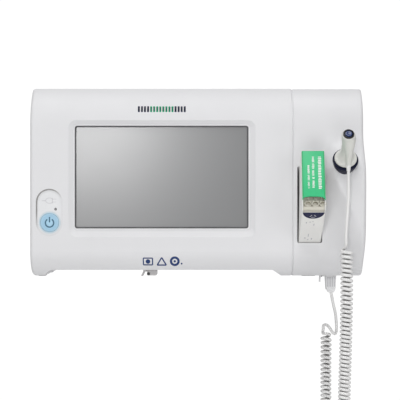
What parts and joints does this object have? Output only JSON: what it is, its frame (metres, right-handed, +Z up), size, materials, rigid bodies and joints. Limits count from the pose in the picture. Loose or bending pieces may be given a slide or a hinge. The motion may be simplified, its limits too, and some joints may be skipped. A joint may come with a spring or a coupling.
{
  "type": "vital signs monitor with thermometer module",
  "caption": "Wall-mounted patient monitor with a touch screen, a power key, a docked oral thermometer probe on a coiled lead, and a slot that holds a box of probe covers.",
  "frame": {"origin": "centre of the rear bolt pattern, on the face of the mounting plate", "axes": "+X to the right seen from the front, +Y out of the back into the wall, +Z up; the screen faces -Y"},
  "size_m": [0.2916, 0.1689, 0.3591],
  "materials": {
    "housing": "fine satin moulded",
    "module_housing": "fine satin moulded",
    "screen_glass": "satin anti-glare",
    "gasket": "matte",
    "panel_grey": "satin",
    "sheet_steel": "zinc plated",
    "mount_steel": "powder coated",
    "screw_steel": "bright zinc",
    "strip_grey": "satin film",
    "button_blue": "translucent",
    "lamp_lens": "clear",
    "board_green": "solder mask",
    "aluminium": "anodised",
    "black_plastic": "fine",
    "battery_wrap": "shrink wrap",
    "valve_white": "moulded",
    "clear_tube": "silicone",
    "rotor": "turned",
    "port_grey": "satin",
    "port_black": "matte",
    "socket_grey": "satin",
    "rubber": "matte",
    "navy": "satin",
    "eject_navy": "gloss",
    "bezel_black": "gloss",
    "cup_white": "satin",
    "probe_white": "satin moulded",
    "shaft_white": "gloss",
    "tip_steel": "polished",
    "spring_steel": "bright",
    "lead_white": "satin jacket",
    "plug_clear": "translucent",
    "carton": "printed board",
    "cover_tube": "thin moulded"
  },
  "bodies": {
    "monitor": {"air_hose": "clear_tube", "air_manifold": "aluminium", "air_valves": "valve_white", "battery_pack": "battery_wrap", "box_chute": "black_plastic", "bp_board": "board_green", "button_board": "board_green", "charge_lamp_lens": "lamp_lens", "chassis_frame": "sheet_steel", "control_inlay": "strip_grey", "door_hinge_pins": "screw_steel", "front_housing": "housing", "heat_sink": "aluminium", "hose_port": "port_grey", "hose_port_catch": "port_black", "housing_screws": "screw_steel", "lcd_bracket": "sheet_steel", "lcd_panel": "panel_grey", "lead_coil_back": "lead_white", "lead_tail_back": "lead_white", "lever_pin": "screw_steel", "loudspeaker": "black_plastic", "main_board": "board_green", "module_front_cover": "module_housing", "module_rear_cover": "module_housing", "module_tie_bolts": "screw_steel", "mount_plate": "mount_steel", "mount_screws": "screw_steel", "network_jack": "black_plastic", "oximetry_board": "board_green", "plug_socket": "black_plastic", "power_inlet": "black_plastic", "power_supply": "board_green", "probe_plug": "plug_clear", "pump_housing": "black_plastic", "rear_housing": "housing", "rubber_feet": "rubber", "screen_gasket": "gasket", "sensor_socket": "socket_grey", "small_screws": "screw_steel", "thermometer_board": "board_green", "touch_glass": "screen_glass", "well_collar": "navy", "well_cup": "cup_white"},
    "power_key": {"power_button": "button_blue"},
    "pump_shaft": {"pump_rotor": "rotor"},
    "bay_door": {"battery_door": "housing"},
    "port_lever": {"hose_release_lever": "port_grey"},
    "latch_tab": {"plug_latch": "plug_clear"},
    "cover_box": {"cover_carton": "carton", "probe_covers": "cover_tube"},
    "probe": {"probe_handle": "probe_white", "lead_relief": "probe_white", "probe_shaft": "shaft_white", "probe_tip": "tip_steel", "button_bezel": "bezel_black", "eject_spring": "spring_steel", "lead_tail_front": "lead_white", "lead_coil_front": "lead_white"},
    "eject_key": {"eject_button": "eject_navy"}
  },
  "joints": [
    {"name": "power_key_press", "type": "slide", "parent": "monitor", "child": "power_key", "axis": [0, 1, 0], "range_m": [0, 0.0012], "stiffness_N_per_m": 300},
    {"name": "pump_spin", "type": "hinge", "parent": "monitor", "child": "pump_shaft", "pos_m": [-0.106, -0.044, 0.034], "axis": [1, 0, 0], "continuous": true},
    {"name": "bay_door_swing", "type": "hinge", "parent": "monitor", "child": "bay_door", "pos_m": [0.007, -0.0142, -0.0754], "axis": [1, 0, 0], "range_deg": [0, 100]},
    {"name": "port_lever_swing", "type": "hinge", "parent": "monitor", "child": "port_lever", "pos_m": [-0.0462, -0.0895, -0.0778], "axis": [0, -1, 0], "range_deg": [0, 20], "stiffness_Nm_per_rad": 0.05},
    {"name": "latch_flex", "type": "hinge", "parent": "monitor", "child": "latch_tab", "pos_m": [0.1166, -0.054, -0.0844], "axis": [0, -1, 0], "range_deg": [0, 14], "stiffness_Nm_per_rad": 0.05},
    {"name": "cover_box_slide", "type": "slide", "parent": "monitor", "child": "cover_box", "axis": [0, -0.866, 0.5], "range_m": [0, 0.1]},
    {"name": "probe_slide", "type": "slide", "parent": "monitor", "child": "probe", "axis": [0, -0.848, 0.5299], "range_m": [0, 0.115]},
    {"name": "eject_key_press", "type": "slide", "parent": "probe", "child": "eject_key", "axis": [0, 0.848, -0.5299], "range_m": [0, 0.004], "stiffness_N_per_m": 250}
  ]
}
